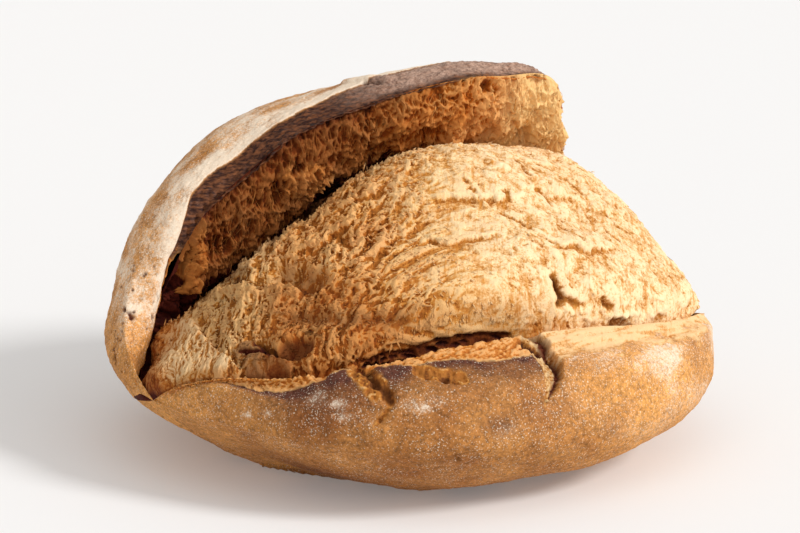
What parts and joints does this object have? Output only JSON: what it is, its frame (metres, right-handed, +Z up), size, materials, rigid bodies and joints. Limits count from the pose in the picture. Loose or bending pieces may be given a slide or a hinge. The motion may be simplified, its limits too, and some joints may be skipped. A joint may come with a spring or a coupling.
{
  "type": "pain de campagne",
  "caption": "Round country loaf with a floury crust, risen open along one long slash under a lifted, scorched ear.",
  "frame": {"origin": "centre of the loaf's plan box, on the surface it rests on", "axes": "+Z up; the view of the picture looks along +Y with +X to the right, so the front crust faces -Y and the slash runs from the front left to the back right, 40 degrees from +X"},
  "size_m": [0.2403, 0.2412, 0.1441],
  "materials": {
    "crust": "baked golden brown bread crust with open crumb and white flour, matte"
  },
  "bodies": {
    "root": {"loaf": "crust"}
  },
  "joints": []
}
